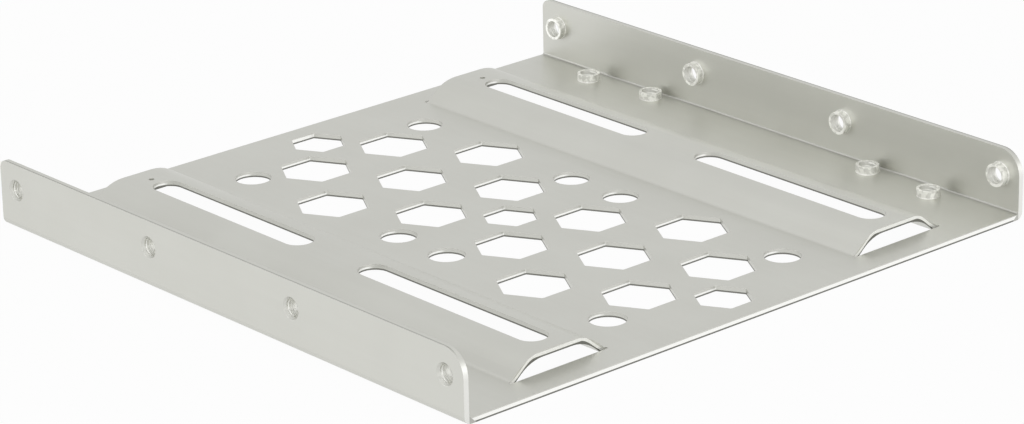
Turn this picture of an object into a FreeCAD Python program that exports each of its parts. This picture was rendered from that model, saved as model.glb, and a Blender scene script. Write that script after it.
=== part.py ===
import FreeCAD, Part
import math
import os

import Sketcher

# Drive bay adapter bracket: one pressed sheet that holds a small drive in a bay made for a larger one.
# X runs across from flange to flange, Y from the front edge to the rear edge and Z up from the underside
# of the plate. The origin is the middle of that underside. Lengths are in millimetres.

NODE = "adapter_bracket"

# Driving dimensions: the name of each, its value and what it measures.
DIMENSIONS = (
    ("width", 101.6, "outer face of one flange to outer face of the other"),
    ("depth", 97.0, "front edge to rear edge"),
    ("gauge", 0.8, "thickness of the sheet"),
    ("flange_height", 9.65, "underside of the plate to the top of a flange"),
    ("fold_bend", 0.3, "inside radius of the two long folds"),
    ("front_corner", 3.5, "radius of the upper front corner of a flange"),
    ("rear_corner", 1.3, "radius of the upper rear corner of a flange"),
    ("ridge_spacing", 61.72, "centre line of one ridge to that of the other"),
    ("ridge_foot", 16.05, "width of a ridge where its slopes meet the plate"),
    ("ridge_crown", 9.9, "width of a ridge where its slopes meet its top"),
    ("ridge_rise", 2.65, "height of a ridge above the plate"),
    ("ridge_bend", 0.8, "inside radius of the bends at the foot of a ridge"),
    ("shoulder_bend", 5.8, "inside radius of the bends beside the top of a ridge"),
    ("ridge_front_setback", 4.95, "front end of a ridge to the front edge of the plate"),
    ("ridge_rear_setback", 4.4, "rear end of a ridge to the rear edge of the plate"),
    ("lance_gap", 0.45, "gap between the cut end of a ridge and the plate"),
    ("slot_width", 4.4, "width of the drive slots"),
    ("slot_bridge", 11.4, "metal between the two slots of a ridge"),
    ("slot_front_web", 2.65, "front end of a ridge to its front slot"),
    ("slot_rear_web", 5.0, "rear end of a ridge to its rear slot"),
    ("pip_bore", 0.8, "diameter of the punch mark behind each rear slot"),
    ("pip_depth", 0.3, "depth of the punch mark"),
    ("pip_setback", 3.3, "rear end of a ridge to the punch mark"),
    ("hex_pitch", 14.5, "centre to centre of neighbouring large hexagons"),
    ("hex_flats", 9.35, "large hexagon across its flats"),
    ("small_hex_flats", 7.2, "small hexagon across its flats"),
    ("hex_corner", 0.3, "rounding of the corners of the hexagons"),
    ("hex_margin", 6.65, "edge of the plate to the centre of the end hexagon"),
    ("vent_bore", 5.2, "diameter of the round vents"),
    ("vent_spread", 32.0, "round vent to round vent across the plate"),
    ("vent_reach", 31.8, "round vent to round vent along one cluster"),
    ("tap_bore", 2.5, "core diameter of the tapped holes"),
    ("collar_height", 1.1, "drawn collar above the sheet"),
    ("collar_wall", 0.42, "wall of a collar"),
    ("collar_root", 0.1, "flare between a collar and the sheet"),
    ("bore_entry", 0.3, "drawn-in flare behind a collar"),
    ("near_inset", 3.175, "outer face of a flange to the near plate holes"),
    ("near_spacing", 44.45, "front near hole to rear near hole"),
    ("far_inset", 4.1, "outer face of a flange to the far plate holes"),
    ("far_spacing", 69.5, "front far hole to rear far hole"),
    ("side_height", 5.85, "underside of the plate to the holes in the flanges"),
    ("side_setback", 3.5, "edge of the plate to the end holes of a flange"),
    ("side_pitch", 30.0, "end hole of a flange to the next one"),
)

# Points of a sketch that constraints name: its origin and axes, and the ends and centre of a curve.
VERTICAL_AXIS, HORIZONTAL_AXIS = range(-2, 0)
ORIGIN = HORIZONTAL_AXIS
START, END, CENTRE = range(1, 4)

HEXAGON_SIDES = 6
# Centre to corner of a hexagon that is one unit across its flats.
HEXAGON_REACH = 1 / math.sqrt(3)
FULL_TURN = math.degrees(math.tau)
NEAR_ENOUGH = 0.001
UP = FreeCAD.Vector(0, 0, 1)


class Size:
    """A length that carries its value and the expression that gives it in the document."""

    def __init__(self, value, text):
        self.value = value
        self.text = text

    def __add__(self, other):
        return Size(self.value + other.value, f"({self.text} + {other.text})")

    def __sub__(self, other):
        return Size(self.value - other.value, f"({self.text} - {other.text})")

    def __neg__(self):
        return Size(-self.value, f"(-{self.text})")

    def __mul__(self, factor):
        return Size(self.value * factor, f"({self.text} * {factor})")

    def __truediv__(self, factor):
        return Size(self.value / factor, f"({self.text} / {factor})")


ON_AXIS = Size(0.0, "0")


def half_turn_tangent(rise, run):
    """Tangent of half the angle of a slope."""
    return Size(
        math.tan(math.atan2(rise.value, run.value) / 2),
        f"tan(atan({rise.text} / {run.text}) / 2)",
    )


def scaled(length, ratio):
    """A length times a ratio that is itself worked out from lengths."""
    return Size(length.value * ratio.value, f"({length.text} * {ratio.text})")


def make_sheet(doc):
    """Writes the driving dimensions to a spreadsheet and gives back a size for each name."""
    sheet = doc.addObject("Spreadsheet::Sheet", "sizes")
    sizes = {}
    for row, (name, value, meaning) in enumerate(DIMENSIONS, 1):
        sheet.set(f"A{row}", meaning)
        sheet.set(f"B{row}", str(value))
        sheet.setAlias(f"B{row}", name)
        sizes[name] = Size(value, f"sizes.{name}")
    doc.recompute()
    return sizes


def origin_feature(body, role):
    """One of the body's own origin planes or axes, by its role."""
    return next(item for item in body.Origin.OriginFeatures if item.Role == role)


def new_sketch(body, name, role, offset=()):
    """A sketch on an origin plane, moved off it by the lengths in offset."""
    sketch = body.newObject("Sketcher::SketchObject", name)
    sketch.AttachmentSupport = [(origin_feature(body, role), "")]
    sketch.MapMode = "FlatFace"
    for axis, size in offset:
        sketch.setExpression(f"AttachmentOffset.Base.{axis}", size.text)
    return sketch


def constrain(sketch, rules):
    """Adds pairs of (constraint, size) at once and binds each dimension to its expression."""
    added = sketch.addConstraint([constraint for constraint, _ in rules])
    for index, (_, size) in zip(added, rules):
        if size is not None:
            sketch.setExpression(f"Constraints[{index}]", size.text)


def tie(kind, *places):
    """A constraint with no size of its own."""
    return Sketcher.Constraint(kind, *places), None


def pin(geometry, point, across, along):
    """The two constraints that hold a point at its distances from the origin of the sketch."""
    rules = []
    for kind, axis, size in (("DistanceX", VERTICAL_AXIS, across), ("DistanceY", HORIZONTAL_AXIS, along)):
        if size is ON_AXIS:
            rules.append(tie("PointOnObject", geometry, point, axis))
        else:
            rules.append((Sketcher.Constraint(kind, ORIGIN, START, geometry, point, size.value), size))
    return rules


def direction(start, end):
    """Angle of the line from one point to another."""
    return math.atan2(end.y - start.y, end.x - start.x)


def rounding(before, corner, after, radius):
    """Where a fillet of a corner starts and ends, its centre, and whether it turns left."""
    back = (before - corner).normalize()
    ahead = (after - corner).normalize()
    half_angle = back.getAngle(ahead) / 2
    reach = radius / math.tan(half_angle)
    centre = corner + (back + ahead).normalize() * (radius / math.sin(half_angle))
    turns_left = (corner - before).cross(after - corner).z > 0
    return corner + back * reach, corner + ahead * reach, centre, turns_left


def draw_outline(sketch, corners):
    """Closed outline through corners of (across, along, radius); radius None leaves a corner sharp."""
    spots = [FreeCAD.Vector(across.value, along.value, 0) for across, along, _ in corners]
    count = len(corners)
    rounds = {}
    for index, (_, _, radius) in enumerate(corners):
        if radius is not None:
            after = spots[(index + 1) % count]
            rounds[index] = rounding(spots[index - 1], spots[index], after, radius.value)
    sides = []
    for index in range(count):
        following = (index + 1) % count
        start = rounds[index][1] if index in rounds else spots[index]
        end = rounds[following][0] if following in rounds else spots[following]
        sides.append(sketch.addGeometry(Part.LineSegment(start, end)))
    rules = []
    for index, (across, along, radius) in enumerate(corners):
        arriving = sides[index - 1]
        leaving = sides[index]
        if radius is None:
            rules.append(tie("Coincident", arriving, END, leaving, START))
            rules.extend(pin(leaving, START, across, along))
            continue
        begin, finish, centre, turns_left = rounds[index]
        first, last = (begin, finish) if turns_left else (finish, begin)
        circle = Part.Circle(centre, UP, radius.value)
        arc = sketch.addGeometry(
            Part.ArcOfCircle(circle, direction(centre, first), direction(centre, last))
        )
        enters, leaves = (START, END) if turns_left else (END, START)
        apex = sketch.addGeometry(Part.Point(spots[index]), True)
        rules.append(tie("Tangent", arriving, END, arc, enters))
        rules.append(tie("Tangent", arc, leaves, leaving, START))
        rules.append((Sketcher.Constraint("Radius", arc, radius.value), radius))
        rules.append(tie("PointOnObject", apex, START, arriving))
        rules.append(tie("PointOnObject", apex, START, leaving))
        rules.extend(pin(apex, START, across, along))
    constrain(sketch, rules)


def draw_circle(sketch, across, along, diameter):
    """A circle at its two distances from the origin of the sketch."""
    centre = FreeCAD.Vector(across.value, along.value, 0)
    circle = sketch.addGeometry(Part.Circle(centre, UP, diameter.value / 2))
    rules = pin(circle, CENTRE, across, along)
    rules.append((Sketcher.Constraint("Diameter", circle, diameter.value), diameter))
    constrain(sketch, rules)


def draw_slot(sketch, across, near, far, width):
    """A slot along the sketch's second axis, with round ends that reach near and far."""
    radius = width / 2
    sides = []
    caps = []
    rules = []
    low = near + radius
    high = far - radius
    for end, turn in ((low, math.pi), (high, 0.0)):
        centre = FreeCAD.Vector(across.value, end.value, 0)
        circle = Part.Circle(centre, UP, radius.value)
        caps.append(sketch.addGeometry(Part.ArcOfCircle(circle, turn, turn + math.pi)))
        rules.extend(pin(caps[-1], CENTRE, across, end))
    for side, start, end in ((1, low, high), (-1, high, low)):
        x = across.value + side * radius.value
        begin = FreeCAD.Vector(x, start.value, 0)
        finish = FreeCAD.Vector(x, end.value, 0)
        sides.append(sketch.addGeometry(Part.LineSegment(begin, finish)))
    ring = (caps[0], sides[0], caps[1], sides[1])
    for index, curve in enumerate(ring):
        following = ring[(index + 1) % len(ring)]
        rules.append(tie("Tangent", curve, END, following, START))
    rules.append((Sketcher.Constraint("Radius", caps[0], radius.value), radius))
    constrain(sketch, rules)


def draw_hexagon(sketch, across, along, flats, corner):
    """A hexagon with two corners on a line across, two flats square to the sketch's second axis."""
    corners = []
    for index in range(HEXAGON_SIDES):
        angle = index * math.tau / HEXAGON_SIDES
        out = flats * (HEXAGON_REACH * math.cos(angle))
        forward = flats * (HEXAGON_REACH * math.sin(angle))
        corners.append((across + out, along + forward, corner))
    draw_outline(sketch, corners)


def settle(feature, adds):
    """Rebuilds the document and makes sure that the feature added or removed metal."""
    change = rebuilt_change(feature)
    if (change > 0) != adds:
        raise RuntimeError(f"{feature.Name} changed the volume by {change:.3f}")
    return feature


def rebuilt_change(feature):
    """Rebuilds the document and gives the volume that the feature adds to the one before it."""
    feature.Document.recompute()
    before = feature.BaseFeature.Shape.Volume if feature.BaseFeature else 0.0
    return feature.Shape.Volume - before


def pad_both_ways(body, name, sketch, length):
    """Adds the sketch's area as a bar, half of it on each side of the sketch."""
    feature = body.newObject("PartDesign::Pad", name)
    feature.Profile = sketch
    feature.SideType = "Symmetric"
    feature.setExpression("Length", length.text)
    return settle(feature, True)


def cut_through(body, name, sketch):
    """Cuts the sketch's area right through the sheet."""
    feature = body.newObject("PartDesign::Pocket", name)
    feature.Profile = sketch
    feature.Type = "ThroughAll"
    feature.SideType = "Symmetric"
    return settle(feature, False)


def cut_down(body, name, sketch, length):
    """Cuts the sketch's area to a depth below the sketch."""
    feature = body.newObject("PartDesign::Pocket", name)
    feature.Profile = sketch
    feature.setExpression("Length", length.text)
    return settle(feature, False)


def turn(body, name, sketch, axis, adds):
    """Adds or cuts the round form that the sketch sweeps about one of its own axes."""
    kind = "PartDesign::Revolution" if adds else "PartDesign::Groove"
    feature = body.newObject(kind, name)
    feature.Profile = sketch
    feature.ReferenceAxis = (sketch, [axis])
    feature.Angle = FULL_TURN
    return settle(feature, adds)


def repeat(body, name, originals, roles, ring=None):
    """Repeats features round the axis of a ring's sketch, if given, then across each plane in turn."""
    pattern = body.newObject("PartDesign::MultiTransform", name)
    pattern.Originals = originals
    steps = []
    if ring is not None:
        step = body.newObject("PartDesign::PolarPattern", f"{name}_ring")
        step.Axis = (ring, ["N_Axis"])
        step.Angle = FULL_TURN
        step.Occurrences = HEXAGON_SIDES
        steps.append(step)
    for role in roles:
        step = body.newObject("PartDesign::Mirrored", f"{name}_{role}")
        step.MirrorPlane = (origin_feature(body, role), [""])
        steps.append(step)
    pattern.Transformations = steps
    body.Tip = pattern
    if abs(rebuilt_change(pattern)) < NEAR_ENOUGH:
        raise RuntimeError(f"{name} repeated nothing")
    return pattern


def fold_tray(body, size):
    """The plate and its two upright flanges, folded from one blank."""
    side = size["width"] / 2
    inner = side - size["gauge"]
    outer_bend = size["fold_bend"] + size["gauge"]
    sketch = new_sketch(body, "tray_section", "XZ_Plane")
    draw_outline(sketch, [
        (-side, ON_AXIS, outer_bend),
        (side, ON_AXIS, outer_bend),
        (side, size["flange_height"], None),
        (inner, size["flange_height"], None),
        (inner, size["gauge"], size["fold_bend"]),
        (-inner, size["gauge"], size["fold_bend"]),
        (-inner, size["flange_height"], None),
        (-side, size["flange_height"], None),
    ])
    return pad_both_ways(body, "tray", sketch, size["depth"])


def round_flange_corners(body, name, edge_position, size, radius):
    """Rounds the upper corner of both flanges at one end of the tray."""
    base = body.Tip
    names = []
    for index, edge in enumerate(base.Shape.Edges, 1):
        middle = edge.CenterOfMass
        at_end = abs(middle.y - edge_position.value) < NEAR_ENOUGH
        if at_end and abs(middle.z - size["flange_height"].value) < NEAR_ENOUGH:
            names.append(f"Edge{index}")
    feature = body.newObject("PartDesign::Fillet", name)
    feature.Base = (base, names)
    feature.setExpression("Radius", radius.text)
    return settle(feature, False)


def press_ridges(body, size):
    """The two lanced ridges with the drive slots along their tops."""
    middle = size["ridge_spacing"] / 2
    foot = size["ridge_foot"] / 2
    crown = size["ridge_crown"] / 2
    top = size["gauge"] + size["ridge_rise"]
    end = (size["depth"] - size["ridge_front_setback"] - size["ridge_rear_setback"]) / 2
    shift = (size["ridge_front_setback"] - size["ridge_rear_setback"]) / 2
    lip = end + size["lance_gap"]
    slope = half_turn_tangent(size["ridge_rise"], foot - crown)
    lean = scaled(size["gauge"], slope)
    clear = foot + scaled(size["ridge_bend"], slope)
    overlap = clear + size["gauge"]
    under_foot = size["ridge_bend"] + size["gauge"]
    over_shoulder = size["shoulder_bend"] + size["gauge"]

    window = new_sketch(body, "ridge_window_outline", "XY_Plane", [("y", shift)])
    draw_outline(window, [
        (middle - clear, -lip, None),
        (middle + clear, -lip, None),
        (middle + clear, lip, None),
        (middle - clear, lip, None),
    ])
    opening = cut_through(body, "ridge_window", window)

    section = new_sketch(body, "ridge_section", "XZ_Plane", [("z", -shift)])
    draw_outline(section, [
        (middle - overlap, ON_AXIS, None),
        (middle - foot + lean, ON_AXIS, under_foot),
        (middle - crown + lean, size["ridge_rise"], size["shoulder_bend"]),
        (middle + crown - lean, size["ridge_rise"], size["shoulder_bend"]),
        (middle + foot - lean, ON_AXIS, under_foot),
        (middle + overlap, ON_AXIS, None),
        (middle + overlap, size["gauge"], None),
        (middle + foot, size["gauge"], size["ridge_bend"]),
        (middle + crown, top, over_shoulder),
        (middle - crown, top, over_shoulder),
        (middle - foot, size["gauge"], size["ridge_bend"]),
        (middle - overlap, size["gauge"], None),
    ])
    ridge = pad_both_ways(body, "ridge", section, end * 2)

    slots = new_sketch(body, "drive_slot_outline", "XY_Plane", [("y", shift)])
    bridge = size["slot_bridge"] / 2
    draw_slot(slots, middle, bridge, end - size["slot_rear_web"], size["slot_width"])
    draw_slot(slots, middle, size["slot_front_web"] - end, -bridge, size["slot_width"])
    slot = cut_through(body, "drive_slots", slots)

    mark = new_sketch(body, "punch_mark_outline", "XY_Plane", [("y", shift), ("z", top)])
    draw_circle(mark, middle, end - size["pip_setback"], size["pip_bore"])
    pip = cut_down(body, "punch_mark", mark, size["pip_depth"])
    return repeat(body, "ridge_pair", [opening, ridge, slot, pip], ["YZ_Plane"])


def cut_vents(body, size):
    """Two clusters of seven hexagons, with smaller vents between them and at their corners."""
    last = size["depth"] / 2 - size["hex_margin"]
    centre = last / 2

    hub = new_sketch(body, "hub_hexagon_outline", "XY_Plane", [("y", centre)])
    draw_hexagon(hub, ON_AXIS, ON_AXIS, size["hex_flats"], size["hex_corner"])
    middle = cut_through(body, "hub_hexagon", hub)
    repeat(body, "hub_hexagon_pair", [middle], ["XZ_Plane"])

    ring = new_sketch(body, "ring_hexagon_outline", "XY_Plane", [("y", centre)])
    draw_hexagon(ring, size["hex_pitch"], ON_AXIS, size["hex_flats"], size["hex_corner"])
    outer = cut_through(body, "ring_hexagon", ring)
    repeat(body, "ring_hexagon_pair", [outer], ["XZ_Plane"], ring)

    small = new_sketch(body, "small_hexagon_outline", "XY_Plane")
    for along in (-last, ON_AXIS, last):
        draw_hexagon(small, ON_AXIS, along, size["small_hex_flats"], size["hex_corner"])
    cut_through(body, "small_hexagons", small)

    round_vents = new_sketch(body, "round_vent_outline", "XY_Plane")
    for along in (centre - size["vent_reach"] / 2, centre + size["vent_reach"] / 2):
        draw_circle(round_vents, size["vent_spread"] / 2, along, size["vent_bore"])
    vents = cut_through(body, "round_vents", round_vents)
    return repeat(body, "round_vent_set", [vents], ["XZ_Plane", "YZ_Plane"])


def collar_corners(size):
    """Outline of a drawn collar as (height above the back of the sheet, radius)."""
    radius = size["tap_bore"] / 2 + size["collar_wall"]
    foot = radius + size["collar_root"]
    end = size["gauge"] + size["collar_height"]
    return [
        (size["gauge"] / 2, ON_AXIS),
        (size["gauge"] / 2, foot),
        (size["gauge"], foot),
        (size["gauge"] + size["collar_root"], radius),
        (end, radius),
        (end, ON_AXIS),
    ]


def bore_corners(size):
    """Outline of the hole through a collar, with the drawn-in mouth at the back of the sheet."""
    radius = size["tap_bore"] / 2
    mouth = radius + size["bore_entry"]
    beyond = size["gauge"] + size["collar_height"] * 2
    return [
        (-size["gauge"], ON_AXIS),
        (-size["gauge"], mouth),
        (ON_AXIS, mouth),
        (size["bore_entry"], radius),
        (beyond, radius),
        (beyond, ON_AXIS),
    ]


def draw_plate_holes(body, name, inset, spacing, size):
    """Four tapped holes in the plate, with their collars on the upper side."""
    place = [("x", size["width"] / 2 - inset), ("z", -spacing / 2)]
    made = []
    for form, corners, adds in (("collar", collar_corners, True), ("bore", bore_corners, False)):
        sketch = new_sketch(body, f"{name}_{form}_outline", "XZ_Plane", place)
        draw_outline(sketch, [(radius, height, None) for height, radius in corners(size)])
        made.append(turn(body, f"{name}_{form}", sketch, "V_Axis", adds))
    return repeat(body, f"{name}_set", made, ["XZ_Plane", "YZ_Plane"])


def draw_flange_holes(body, name, position, size):
    """Two tapped holes in each flange, with their collars on the inner side."""
    place = [("x", size["width"] / 2), ("y", position), ("z", size["side_height"])]
    made = []
    for form, corners, adds in (("collar", collar_corners, True), ("bore", bore_corners, False)):
        sketch = new_sketch(body, f"{name}_{form}_outline", "XY_Plane", place)
        draw_outline(sketch, [(-height, radius, None) for height, radius in corners(size)])
        made.append(turn(body, f"{name}_{form}", sketch, "H_Axis", adds))
    return repeat(body, f"{name}_set", made, ["XZ_Plane", "YZ_Plane"])


def make_bracket(doc, size):
    """The whole bracket, in the order in which a press would form it."""
    body = doc.addObject("PartDesign::Body", NODE)
    body.Label = NODE
    end = size["depth"] / 2
    fold_tray(body, size)
    round_flange_corners(body, "front_corners", -end, size, size["front_corner"])
    round_flange_corners(body, "rear_corners", end, size, size["rear_corner"])
    press_ridges(body, size)
    cut_vents(body, size)
    draw_plate_holes(body, "near_hole", size["near_inset"], size["near_spacing"], size)
    draw_plate_holes(body, "far_hole", size["far_inset"], size["far_spacing"], size)
    end_hole = end - size["side_setback"]
    draw_flange_holes(body, "end_hole", end_hole, size)
    draw_flange_holes(body, "inner_hole", end_hole - size["side_pitch"], size)
    return body


def check(doc, body):
    """Stops the build if any object failed or the bracket is not one sound solid."""
    failed = [item.Name for item in doc.Objects if {"Invalid", "Error"} & set(item.State)]
    if failed:
        raise RuntimeError("failed objects: " + ", ".join(failed))
    shape = body.Shape
    if shape.isNull() or not shape.isValid() or len(shape.Solids) != 1:
        raise RuntimeError("the bracket is not one valid solid")


document = FreeCAD.newDocument("drive_bay_adapter_bracket")
bracket = make_bracket(document, make_sheet(document))
document.recompute()
check(document, bracket)
os.makedirs("parts", exist_ok=True)
bracket.Shape.exportStep(f"parts/{bracket.Label}.step")
box = bracket.Shape.BoundBox
print(f"{bracket.Label}: {box.XLength:.2f} x {box.YLength:.2f} x {box.ZLength:.2f} mm")
print(f"volume {bracket.Shape.Volume:.1f} mm3, {len(bracket.Shape.Faces)} faces")
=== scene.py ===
# %% [markdown]
# A drive bay adapter bracket is one sheet of zinc plated steel. A press cuts its vents and slots,
# pushes up two ridges, draws small collars round the screw holes and folds up the two sides. The
# shape is already in the CAD model, so this lesson loads it as a fixed frame and gives it what a
# press shop would see: the satin plate with its rolling grain, the bright sheared edges and the
# cut threads in the collars. The edges also get a painted highlight and a painted shadow, and the
# folds a painted shade.

# %% Load the bracket
import math

import bmesh
import bpy
from mathutils import Matrix, Vector


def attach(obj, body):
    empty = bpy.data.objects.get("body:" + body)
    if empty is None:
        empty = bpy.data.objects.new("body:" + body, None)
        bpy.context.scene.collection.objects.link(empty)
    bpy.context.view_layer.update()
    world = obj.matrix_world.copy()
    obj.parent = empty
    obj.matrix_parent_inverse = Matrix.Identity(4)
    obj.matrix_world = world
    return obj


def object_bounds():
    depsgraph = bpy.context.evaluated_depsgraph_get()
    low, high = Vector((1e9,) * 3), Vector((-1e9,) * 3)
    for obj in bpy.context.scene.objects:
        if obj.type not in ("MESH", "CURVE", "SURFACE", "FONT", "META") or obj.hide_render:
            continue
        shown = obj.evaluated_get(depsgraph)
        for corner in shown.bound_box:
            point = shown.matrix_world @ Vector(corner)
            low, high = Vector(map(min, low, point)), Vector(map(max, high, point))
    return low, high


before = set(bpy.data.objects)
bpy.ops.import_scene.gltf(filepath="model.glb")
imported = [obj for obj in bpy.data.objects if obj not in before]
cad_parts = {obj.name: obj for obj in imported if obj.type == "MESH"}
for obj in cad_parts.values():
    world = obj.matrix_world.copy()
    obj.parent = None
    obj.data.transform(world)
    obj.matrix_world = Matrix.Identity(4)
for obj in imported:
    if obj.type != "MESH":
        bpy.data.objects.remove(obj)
cad_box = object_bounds()
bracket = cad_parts["adapter_bracket"]
MM = 0.001
cad_size = [round(v / MM, 2) for v in cad_box[1] - cad_box[0]]
print("bracket:", len(bracket.data.polygons), "triangles,", cad_size, "mm")

# %% [markdown]
# The photograph was taken from the front left, a little above the bracket, with a long lens from
# about 0.6 m. A camera could be turned by hand until it looks right. Here its angles were solved
# from the straight edges and the holes, so it is built from them: a direction back towards the
# photographer, then the two directions that are level and upright in the picture, turned a little
# for the tilt of the camera.

# %% Camera
PICTURE_WIDTH = 1024
AZIMUTH, ELEVATION, TILT = (math.radians(a) for a in (-41.328, 20.784, -1.16))
DISTANCE = 580.907 * MM
LOOKED_AT = Vector((0.267, 0.0, 1.291)) * MM
FOCAL_PIXELS = 4215.5
SENSOR = 36.0

back = Vector((
    math.sin(AZIMUTH) * math.cos(ELEVATION),
    -math.cos(AZIMUTH) * math.cos(ELEVATION),
    math.sin(ELEVATION),
))
level = Vector((math.cos(AZIMUTH), math.sin(AZIMUTH), 0.0))
untilted = Matrix((level, back.cross(level), back)).transposed()
turn = untilted @ Matrix.Rotation(TILT, 3, "Z")

lens = bpy.data.cameras.new("camera")
lens.sensor_width = SENSOR
lens.lens = FOCAL_PIXELS * SENSOR / PICTURE_WIDTH
camera = bpy.data.objects.new("camera", lens)
camera.matrix_world = Matrix.Translation(LOOKED_AT + back * DISTANCE) @ turn.to_4x4()
bpy.context.scene.collection.objects.link(camera)
bpy.context.scene.camera = camera
camera_place = [round(v, 4) for v in camera.matrix_world.translation]
print("camera at", camera_place, "lens", round(lens.lens, 1), "mm")

# %% [markdown]
# Materials, the floor and the world are all made of nodes. Each node could be added and wired by
# hand, but that takes many lines. So one small function adds a node and fills its inputs, either
# with a value or with the output of an earlier node, and a second one does sums.


# %% Node helpers
def add_node(tree, kind, inputs=None, **settings):
    """One node with its settings, each input set to a value or fed by another node."""
    made = tree.nodes.new(kind)
    for name, value in settings.items():
        setattr(made, name, value)
    for name, value in (inputs or {}).items():
        if isinstance(value, bpy.types.NodeSocket):
            tree.links.new(value, made.inputs[name])
        else:
            made.inputs[name].default_value = value
    return made


def work_out(tree, operation, *values):
    """The result of one sum on numbers or outputs."""
    inputs = dict(enumerate(values))
    return add_node(tree, "ShaderNodeMath", inputs, operation=operation).outputs[0]


def blank_tree(owner):
    """The node tree of a material or world, emptied."""
    owner.use_nodes = True
    owner.node_tree.nodes.clear()
    return owner.node_tree


def seen_directly(tree):
    """One for rays from the camera, from a glossy surface or through glass, else zero."""
    path = add_node(tree, "ShaderNodeLightPath").outputs
    seen = work_out(tree, "MAXIMUM", path["Is Camera Ray"], path["Is Glossy Ray"])
    return work_out(tree, "MAXIMUM", seen, path["Is Transmission Ray"])


print("node helpers ready")

# %% [markdown]
# The picture has a plain white ground. A very bright lamp would bleach the metal, so the floor is
# white by itself: what the camera and the metal see of it is mostly a white glow of strength one,
# with a share of plain matte white that still takes the shadow of the bracket. It lies a hair
# below the sheet.

# %% Floor
FLOOR_SIZE = 6.0
FLOOR_DROP = 0.05 * MM
FLOOR_GLOW = 0.95
MATTE_WHITE = (0.86, 0.86, 0.86, 1.0)
WHITE = (1.0, 1.0, 1.0, 1.0)

ground = bmesh.new()
bmesh.ops.create_grid(ground, x_segments=1, y_segments=1, size=FLOOR_SIZE / 2)
bmesh.ops.translate(ground, verts=ground.verts, vec=(0.0, 0.0, -FLOOR_DROP))
floor_mesh = bpy.data.meshes.new("floor")
ground.to_mesh(floor_mesh)
ground.free()
floor = bpy.data.objects.new("floor", floor_mesh)
bpy.context.scene.collection.objects.link(floor)

floor_paint = bpy.data.materials.new("floor_white")
tree = blank_tree(floor_paint)
matte = add_node(tree, "ShaderNodeBsdfDiffuse", {"Color": MATTE_WHITE}).outputs[0]
glow = add_node(tree, "ShaderNodeEmission", {"Color": WHITE, "Strength": 1.0}).outputs[0]
share = work_out(tree, "MULTIPLY", seen_directly(tree), FLOOR_GLOW)
both = add_node(tree, "ShaderNodeMixShader", {0: share, 1: matte, 2: glow})
add_node(tree, "ShaderNodeOutputMaterial", {"Surface": both.outputs[0]})
floor_mesh.materials.append(floor_paint)
print("floor", FLOOR_SIZE, "m wide")

# %% [markdown]
# Satin metal has hardly any colour of its own: its look is what stands round it. The surroundings
# are an even white room, as in a photographer's tent, so the plate, the ridges and the slopes all
# take about one tone. Light from all sides at once would lose the shadows, so the room is dimmer
# where it only lights a surface.

# %% Surroundings
ROOM_LIGHT = 0.5
ROOM_SEEN = 0.88

world = bpy.data.worlds.new("white_room")
bpy.context.scene.world = world
tree = blank_tree(world)
strength = add_node(tree, "ShaderNodeMapRange", {
    "Value": seen_directly(tree), "To Min": ROOM_LIGHT, "To Max": ROOM_SEEN,
}).outputs[0]
room = add_node(tree, "ShaderNodeBackground", {"Color": WHITE, "Strength": strength})
add_node(tree, "ShaderNodeOutputWorld", {"Surface": room.outputs[0]})
bpy.context.scene.view_settings.view_transform = "Standard"
print("white room at", ROOM_LIGHT, "for light and", ROOM_SEEN, "where it is seen")

# %% [markdown]
# Four soft panels shape the light. A broad one hangs overhead. A low one in front brightens the
# collars, one at the front right every cut edge that faces forward, and one at the rear left is
# what the flanges mirror. None stands at the rear right, because the plate would mirror it as a
# glare. Each is given by its place, its size in metres and its power in watts, and faces the
# bracket.

# %% Lamps
PANELS = (
    ("panel_overhead", (-0.2, -0.2, 1.1), (1.2, 1.2), 3.0),
    ("panel_front", (-0.2, -1.0, 0.18), (1.6, 0.34), 2.2),
    ("panel_front_right", (0.62, -0.75, 0.32), (1.0, 0.5), 0.9),
    ("panel_rear_left", (-0.82, 0.42, 0.16), (1.0, 0.3), 1.7),
)
for name, place, (across, upright), watts in PANELS:
    lamp = bpy.data.lights.new(name, "AREA")
    lamp.shape = "RECTANGLE"
    lamp.size = across
    lamp.size_y = upright
    lamp.energy = watts
    panel = bpy.data.objects.new(name, lamp)
    facing = Vector(place).to_track_quat("Z", "Y").to_matrix().to_4x4()
    panel.matrix_world = Matrix.Translation(place) @ facing
    bpy.context.scene.collection.objects.link(panel)
print("panels:", ", ".join(name for name, *_ in PANELS))

# %% [markdown]
# The press cuts, draws, taps and folds the sheet, and each of these leaves a finish of its own.
# Some places also get a painted highlight, a painted shadow and a painted shade.
# Several materials would need the mesh to be taken apart, so one material finds the places by
# itself, from where a point lies and which way it faces. The left half mirrors the right one, so
# only the distance from the middle counts. The ridges lie a little behind the middle of the plate.

# %% Place and facing of a point
RIDGE_SHIFT = 0.275 * MM


def from_zero_to_one(tree, value, low, high):
    """A smooth step of a value from zero at low to one at high."""
    return add_node(tree, "ShaderNodeMapRange", {
        "Value": value, "From Min": low, "From Max": high,
    }, interpolation_type="SMOOTHSTEP").outputs[0]


def choose(tree, share, first, second):
    """The first number where share is zero, the second where it is one."""
    inputs = {"Factor": share, "A": first, "B": second}
    return add_node(tree, "ShaderNodeMix", inputs).outputs[0]


def look_round(tree):
    """A point's place, its height, its distances from the middles and how squarely it faces."""
    coordinates = add_node(tree, "ShaderNodeTexCoord").outputs
    place = add_node(tree, "ShaderNodeSeparateXYZ", {0: coordinates["Object"]}).outputs
    facing = add_node(tree, "ShaderNodeSeparateXYZ", {0: coordinates["Normal"]}).outputs
    squarely = {axis: work_out(tree, "ABSOLUTE", facing[axis]) for axis in "XYZ"}
    outward = work_out(tree, "ABSOLUTE", place["X"])
    along = work_out(tree, "ABSOLUTE", work_out(tree, "SUBTRACT", place["Y"], RIDGE_SHIFT))
    return coordinates["Object"], place["Z"], outward, along, squarely


print("ridges lie", round(RIDGE_SHIFT / MM, 3), "mm behind the middle")

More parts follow.
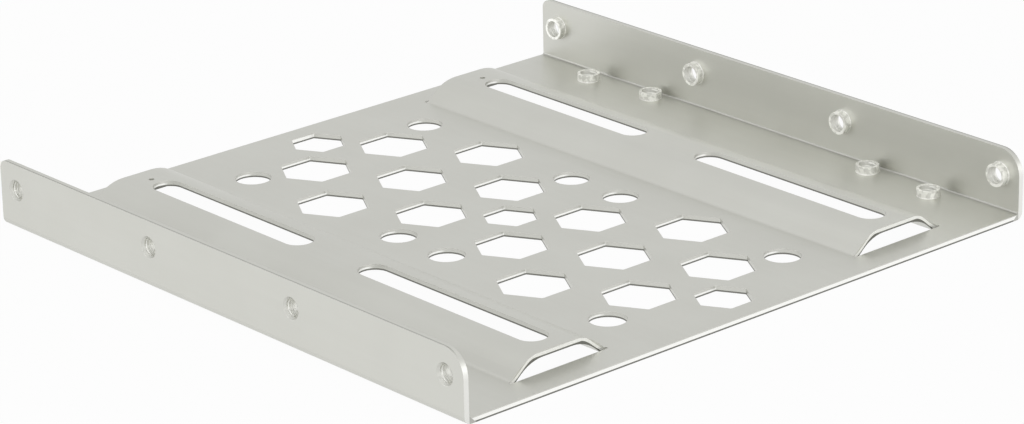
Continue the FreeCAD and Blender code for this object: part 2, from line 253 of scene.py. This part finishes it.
# %% [markdown]
# On the plate a cut face is one that stands upright, and on the flanges one that does not face
# sideways. All other faces are the rolled skin of the sheet. How deep a point lies in a cut is
# its height above the back of the sheet, which swings up under the two ridges, or on a flange its
# distance from the outer face. It is given as a share of the sheet's thickness.

# %% Where the sheet is cut
GAUGE = 0.8 * MM
HALF_WIDTH = 50.8 * MM
FLANGE_INSIDE = 49.95 * MM
ABOVE_RIDGES = 4.2 * MM
SKIN_FROM, SKIN_FULL = 0.25, 0.5
RIDGE_MIDDLE = 30.86 * MM
RIDGE_RISE = 2.65 * MM
RIDGE_END = 44.05 * MM
SLOPE_FOOT = 8.5 * MM
SLOPE_TOP = 3.85 * MM


def cut_faces(tree, height, outward, along, squarely):
    """One on the cut faces of the sheet, then the depth in the cut, and one on a flange."""
    far_out = work_out(tree, "GREATER_THAN", outward, FLANGE_INSIDE)
    high_up = work_out(tree, "GREATER_THAN", height, ABOVE_RIDGES)
    on_flange = work_out(tree, "MAXIMUM", far_out, high_up)
    out_of_sheet = choose(tree, on_flange, squarely["Z"], squarely["X"])
    skin = from_zero_to_one(tree, out_of_sheet, SKIN_FROM, SKIN_FULL)

    off_ridge = work_out(tree, "ABSOLUTE", work_out(tree, "SUBTRACT", outward, RIDGE_MIDDLE))
    slope = from_zero_to_one(tree, off_ridge, SLOPE_FOOT, SLOPE_TOP)
    between_ends = work_out(tree, "LESS_THAN", along, RIDGE_END)
    rise = work_out(tree, "MULTIPLY", between_ends, RIDGE_RISE)
    risen = work_out(tree, "MULTIPLY", slope, rise)
    in_plate = work_out(tree, "SUBTRACT", height, risen)
    in_flange = work_out(tree, "SUBTRACT", HALF_WIDTH, outward)
    depth = work_out(tree, "DIVIDE", choose(tree, on_flange, in_plate, in_flange), GAUGE)
    return work_out(tree, "SUBTRACT", 1.0, skin), depth, on_flange


print("flanges start", FLANGE_INSIDE / MM, "mm out or", ABOVE_RIDGES / MM, "mm up")

# %% [markdown]
# Drawing a collar stretches the metal and burnishes it, so the collars are the brightest spots of
# the bracket, and the cut thread inside them is grey. Collars and bores are found by how far a
# point lies from the axis of its hole. Left and right, front and rear mirror each other, so four
# axes stand for sixteen holes. A flange's axes count only near that flange.

# %% Where the sheet was drawn and tapped
BORE_RADIUS = 1.25 * MM
BORE_MARGIN = 0.02 * MM
COLLAR_REACH = 1.85 * MM
FLANGE_AXIS_LENGTH = 3.0 * MM
PLATE_HOLES = ((47.625 * MM, 22.225 * MM), (46.7 * MM, 34.75 * MM))
FLANGE_HOLES = ((15.0 * MM, 5.85 * MM), (45.0 * MM, 5.85 * MM))
PLATE_FACE = 0.86 * MM


def off_axis(tree, across, upwards, holes):
    """The distance from the nearest hole axis, in the plane that the holes lie in."""
    point = add_node(tree, "ShaderNodeCombineXYZ", {"X": across, "Y": upwards}).outputs[0]
    distances = [
        add_node(tree, "ShaderNodeVectorMath", {0: point, 1: (*hole, 0.0)}, operation="DISTANCE")
        for hole in holes
    ]
    return work_out(tree, "MINIMUM", *(distance.outputs["Value"] for distance in distances))


def collars_and_bores(tree, place, height, outward):
    """One on the collars, then one in the tapped bores, and zero elsewhere."""
    front_to_rear = add_node(tree, "ShaderNodeSeparateXYZ", {0: place}).outputs["Y"]
    lengthways = work_out(tree, "ABSOLUTE", front_to_rear)
    off_flange = work_out(tree, "SUBTRACT", HALF_WIDTH - FLANGE_AXIS_LENGTH, outward)
    off_flange_axis = off_axis(tree, lengthways, height, FLANGE_HOLES)
    from_flange = work_out(tree, "MAXIMUM", off_flange_axis, off_flange)
    from_plate = off_axis(tree, outward, lengthways, PLATE_HOLES)
    from_axis = work_out(tree, "MINIMUM", from_plate, from_flange)

    above_plate = work_out(tree, "GREATER_THAN", height, PLATE_FACE)
    inside_flange = work_out(tree, "LESS_THAN", outward, FLANGE_INSIDE)
    proud = work_out(tree, "MULTIPLY", above_plate, inside_flange)
    near_axis = work_out(tree, "LESS_THAN", from_axis, COLLAR_REACH)
    bore = work_out(tree, "LESS_THAN", from_axis, BORE_RADIUS + BORE_MARGIN)
    return work_out(tree, "MULTIPLY", proud, near_axis), bore


print("collars reach", COLLAR_REACH / MM, "mm from their axes")

# %% [markdown]
# The tight inside of a long fold gets a painted shade, a dull darker line. It is the strip where a
# point is close to the plate and to the flange at once, so the two distances are added, and the
# painted shade fades in as their sum gets small.

# %% Painted shade inside the folds
FOLD_TOP = 1.3 * MM
FOLD_FADES, FOLD_FULL = 0.34 * MM, 0.24 * MM


def painted_fold_shade(tree, height, outward):
    """One in the inner corner of a long fold, where the painted shade goes, zero elsewhere."""
    low = work_out(tree, "LESS_THAN", height, FOLD_TOP)
    within = work_out(tree, "LESS_THAN", outward, HALF_WIDTH - GAUGE)
    from_flange = work_out(tree, "SUBTRACT", HALF_WIDTH - GAUGE, outward)
    from_plate = work_out(tree, "SUBTRACT", height, GAUGE)
    corner = work_out(tree, "ADD", from_flange, from_plate)
    near = from_zero_to_one(tree, corner, FOLD_FADES, FOLD_FULL)
    return work_out(tree, "MULTIPLY", near, work_out(tree, "MULTIPLY", low, within))


print("folds end", FOLD_TOP / MM, "mm up")

# %% [markdown]
# Rolled and plated sheet looks even from a step away. Close up it has fine lines along the way it
# was rolled, a soft cloudiness where the zinc grew thicker, and a very fine grain that blurs its
# reflections. The drawn collars have short streaks. A picture of each could be laid on, but it
# would blur close up, so each is a noise on the object's own coordinates, stretched along the
# sheet for the rolling lines.

# %% Patterns of the plating
LINES = {"scale": 1.0, "detail": 3.0, "stretch": (900.0, 30.0, 900.0)}
CLOUDS = {"scale": 70.0, "detail": 4.0}
GRAIN = {"scale": 9000.0, "detail": 2.0}
STREAKS = {"scale": 1600.0, "detail": 1.0}


def noise(tree, vector, scale, detail, stretch=None):
    """A cloudy pattern, stretched where a stretch is given."""
    if stretch is not None:
        inputs = {"Vector": vector, "Scale": stretch}
        vector = add_node(tree, "ShaderNodeMapping", inputs).outputs[0]
    inputs = {"Vector": vector, "Scale": scale, "Detail": detail}
    return add_node(tree, "ShaderNodeTexNoise", inputs).outputs["Fac"]


def blend_colours(tree, share, first, second):
    """One colour turning into another as share goes from zero to one."""
    mix = add_node(tree, "ShaderNodeMix", data_type="RGBA")
    colour_inputs = ("Factor_Float", "A_Color", "B_Color")
    for socket, value in zip(colour_inputs, (share, first, second)):
        plug = next(item for item in mix.inputs if item.identifier == socket)
        if isinstance(value, bpy.types.NodeSocket):
            tree.links.new(value, plug)
        else:
            plug.default_value = value
    return next(item for item in mix.outputs if item.identifier == "Result_Color")


print("patterns: lines, clouds, grain and streaks")

# %% [markdown]
# A punch pulls the upper rim of a cut in with it, then wipes the metal bright, and at last the
# sheet breaks away rough. The rolled-in rim keeps the tone of the plate, and it is deeper in the
# vents than at the front and rear edges. The burnished part is bright only where it faces along
# the sheet, so its brightness is partly the burnish and partly a painted highlight. Below that the
# cut is painted dark, partly for the rough break and partly as a painted shadow under the edge. On
# a flange the cut is milder, and only its level faces get the dark band.

# %% Colours of a cut, with painted highlight and painted shadow
# Painted highlight: this bright colour goes only on cut faces that face along the sheet.
SHEARED_AND_HIGHLIGHT = (0.95, 0.95, 0.92, 1.0)
# Painted shadow: this dark band low in a cut is partly the rough break and partly shade under the
# edge.
TORN_AND_SHADOW = (0.20, 0.20, 0.18, 1.0)
DARK_BAND_DEPTH = 0.28
FLANGE_DARK_BAND = 0.5
LEVEL_FROM, LEVEL_FULL = 0.7, 1.0
HIGHLIGHT_FACING_FROM, HIGHLIGHT_FACING_FULL = 0.8, 0.98
FLANGE_SHINE = 0.6
EDGE_ROLLED_IN = 0.86
VENT_ROLLED_IN = 0.6
INNER_CUTS = 43.2 * MM


def cut_colour(tree, skin, depth, along, on_flange, squarely):
    """Bright where the punch burnished the cut and it faces along the sheet, partly a painted
    highlight; dark low in the cut, partly the rough break and partly a painted shadow; else the
    skin.
    """
    in_vent = work_out(tree, "LESS_THAN", along, INNER_CUTS)
    rolled_in = choose(tree, in_vent, EDGE_ROLLED_IN, VENT_ROLLED_IN)
    below_rim = work_out(tree, "LESS_THAN", depth, rolled_in)
    wiped_share = choose(tree, on_flange, below_rim, FLANGE_SHINE)
    # Painted highlight: the burnished colour shows only where the cut faces along the sheet.
    highlight_facing = from_zero_to_one(tree, squarely["Y"], HIGHLIGHT_FACING_FROM, HIGHLIGHT_FACING_FULL)
    shine_and_highlight = work_out(tree, "MULTIPLY", highlight_facing, wiped_share)
    wiped_and_highlight = blend_colours(tree, shine_and_highlight, skin, SHEARED_AND_HIGHLIGHT)

    # Painted shadow: the dark low band of a cut stands partly for the shade under the edge.
    level_face = from_zero_to_one(tree, squarely["Z"], LEVEL_FROM, LEVEL_FULL)
    flange_dark_band = work_out(tree, "MULTIPLY", level_face, FLANGE_DARK_BAND)
    dark_band_share = choose(tree, on_flange, 1.0, flange_dark_band)
    torn_and_shadow = work_out(tree, "MULTIPLY", work_out(tree, "LESS_THAN", depth, DARK_BAND_DEPTH), dark_band_share)
    return blend_colours(tree, torn_and_shadow, wiped_and_highlight, TORN_AND_SHADOW)


print("cuts break away below", DARK_BAND_DEPTH, "of the sheet")

# %% [markdown]
# Now the finishes and the painted light are laid over each other: the zinc skin, the cuts with
# their painted highlight and painted shadow, the painted shade in the folds, the collars with
# their streaks and at last the bores. Where the lines and clouds say that the zinc is thin, it is
# a shade darker and a little rougher. The edges are rounded in the shading only, because the mesh
# of the
# CAD model is left as it is.

# %% Plated sheet
ZINC = (0.630, 0.632, 0.590, 1.0)
ZINC_THIN = (0.612, 0.613, 0.571, 1.0)
BURNISHED = (0.98, 0.98, 0.94, 1.0)
DRAWN_GREY = (0.78, 0.78, 0.74, 1.0)
TAPPED = (0.76, 0.76, 0.72, 1.0)
# Painted shade for the inner corner of the folds.
FOLD_PAINTED_SHADE = (0.50, 0.50, 0.467, 1.0)
LINE_SHARE, CLOUD_SHARE = 0.25, 0.75
THIN_FROM, THIN_FULL = 0.35, 0.65
STREAK_FROM, STREAK_FULL = 0.42, 0.58
SATIN = 0.42
SATIN_SPREAD = 0.06
DRAWN_ROUGH = 0.58
EDGE_ROUNDING = 0.06 * MM
ROUNDING_SAMPLES = 4
RELIEF_DEPTH = 0.01 * MM
RELIEF_STRENGTH = 0.03
LINE_RELIEF = 0.3


def surface_relief(tree, lines, grain):
    """Normals with rounded edges, rolling lines and grain."""
    rounded = add_node(
        tree, "ShaderNodeBevel", {"Radius": EDGE_ROUNDING}, samples=ROUNDING_SAMPLES)
    return add_node(tree, "ShaderNodeBump", {
        "Strength": RELIEF_STRENGTH, "Distance": RELIEF_DEPTH,
        "Height": work_out(tree, "MULTIPLY_ADD", lines, LINE_RELIEF, grain),
        "Normal": rounded.outputs[0],
    }).outputs[0]


def make_plated_sheet():
    """Satin zinc on rolled steel, with bright cuts and collars, a painted highlight and a
    painted shadow on the cuts and a painted shade in the folds.
    """
    paint = bpy.data.materials.new("plated_sheet")
    tree = blank_tree(paint)
    place, height, outward, along, squarely = look_round(tree)
    cut, depth, on_flange = cut_faces(tree, height, outward, along, squarely)
    collar, bore = collars_and_bores(tree, place, height, outward)
    lines = noise(tree, place, **LINES)
    cloud = work_out(tree, "MULTIPLY", noise(tree, place, **CLOUDS), CLOUD_SHARE)
    thin = work_out(tree, "MULTIPLY_ADD", lines, LINE_SHARE, cloud)

    thin_share = from_zero_to_one(tree, thin, THIN_FROM, THIN_FULL)
    skin = blend_colours(tree, thin_share, ZINC, ZINC_THIN)
    edge = cut_colour(tree, skin, depth, along, on_flange, squarely)
    colour = blend_colours(tree, cut, skin, edge)
    # Painted shade in the inner corner of the folds.
    colour = blend_colours(tree, painted_fold_shade(tree, height, outward), colour, FOLD_PAINTED_SHADE)
    streaks = from_zero_to_one(tree, noise(tree, place, **STREAKS), STREAK_FROM, STREAK_FULL)
    drawn = blend_colours(tree, streaks, BURNISHED, DRAWN_GREY)
    colour = blend_colours(tree, collar, colour, drawn)
    colour = blend_colours(tree, bore, colour, TAPPED)

    satin = work_out(tree, "MULTIPLY_ADD", thin, SATIN_SPREAD, SATIN - SATIN_SPREAD / 2)
    metal = add_node(tree, "ShaderNodeBsdfPrincipled", {
        "Base Color": colour, "Metallic": 1.0,
        "Roughness": choose(tree, collar, satin, DRAWN_ROUGH),
        "Normal": surface_relief(tree, lines, noise(tree, place, **GRAIN)),
    })
    add_node(tree, "ShaderNodeOutputMaterial", {"Surface": metal.outputs[0]})
    return paint


plated_sheet = make_plated_sheet()
bracket.data.materials.clear()
bracket.data.materials.append(plated_sheet)
print("plated sheet:", len(plated_sheet.node_tree.nodes), "nodes")

# %% [markdown]
# The collars are tapped for screws. In the CAD model each hole is a plain bore of the core
# diameter, because a thread is too fine for it. Here a small triangle is wound up a bore by a spin
# that also climbs, which gives the crest of a thread as one closed coil.

# %% Thread of one hole
PITCH = 0.5 * MM
THREAD_RISE = 0.11 * MM
ROOT_OVERLAP = 0.03 * MM
THREAD_HALF_WIDTH = 0.19 * MM
THREAD_START = 0.55 * MM
THREAD_TURNS = 2.1
STEPS_PER_TURN = 28

coil = bmesh.new()
profile = (
    (BORE_RADIUS + ROOT_OVERLAP, -THREAD_HALF_WIDTH),
    (BORE_RADIUS - THREAD_RISE, 0.0),
    (BORE_RADIUS + ROOT_OVERLAP, THREAD_HALF_WIDTH),
)
corners = [coil.verts.new((radius, 0.0, THREAD_START + along)) for radius, along in profile]
sides = [coil.edges.new((corners[i - 1], corners[i])) for i in range(len(corners))]
steps = round(THREAD_TURNS * STEPS_PER_TURN)
bmesh.ops.spin(
    coil, geom=corners + sides, axis=(0.0, 0.0, 1.0), cent=(0.0, 0.0, 0.0),
    angle=math.tau * THREAD_TURNS, steps=steps, dvec=(0.0, 0.0, PITCH / STEPS_PER_TURN),
)
open_ends = [edge for edge in coil.edges if edge.is_boundary]
bmesh.ops.holes_fill(coil, edges=open_ends, sides=len(profile))
bmesh.ops.recalc_face_normals(coil, faces=coil.faces)
thread_mesh = bpy.data.meshes.new("one_thread")
coil.to_mesh(thread_mesh)
coil.free()
print("one thread:", len(thread_mesh.polygons), "faces")

# %% [markdown]
# The same coil goes into all sixteen collars: eight in the plate, wound upwards, and four in each
# flange, wound inwards from the outer face. Sixteen objects would work too, but copies placed by a
# matrix each and joined in one mesh let the object itself stay at the origin.

# %% Threads in all the collars
spots = []
for side in (-1, 1):
    inwards = Matrix.Rotation(math.radians(-90.0 * side), 4, "Y")
    for end in (-1, 1):
        for outward, along in PLATE_HOLES:
            spots.append(Matrix.Translation((side * outward, end * along, 0.0)))
        for along, height in FLANGE_HOLES:
            flange_spot = Matrix.Translation((side * HALF_WIDTH, end * along, height))
            spots.append(flange_spot @ inwards)

threads = bmesh.new()
for spot in spots:
    already = len(threads.verts)
    threads.from_mesh(thread_mesh)
    threads.verts.ensure_lookup_table()
    bmesh.ops.transform(threads, matrix=spot, verts=threads.verts[already:])
screw_thread_mesh = bpy.data.meshes.new("screw_threads")
threads.to_mesh(screw_thread_mesh)
threads.free()
bpy.data.meshes.remove(thread_mesh)
screw_threads = bpy.data.objects.new("screw_threads", screw_thread_mesh)
bpy.context.scene.collection.objects.link(screw_threads)
screw_thread_mesh.materials.append(plated_sheet)
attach(screw_threads, "root")
print("threads in", len(spots), "collars,", len(screw_thread_mesh.polygons), "faces")
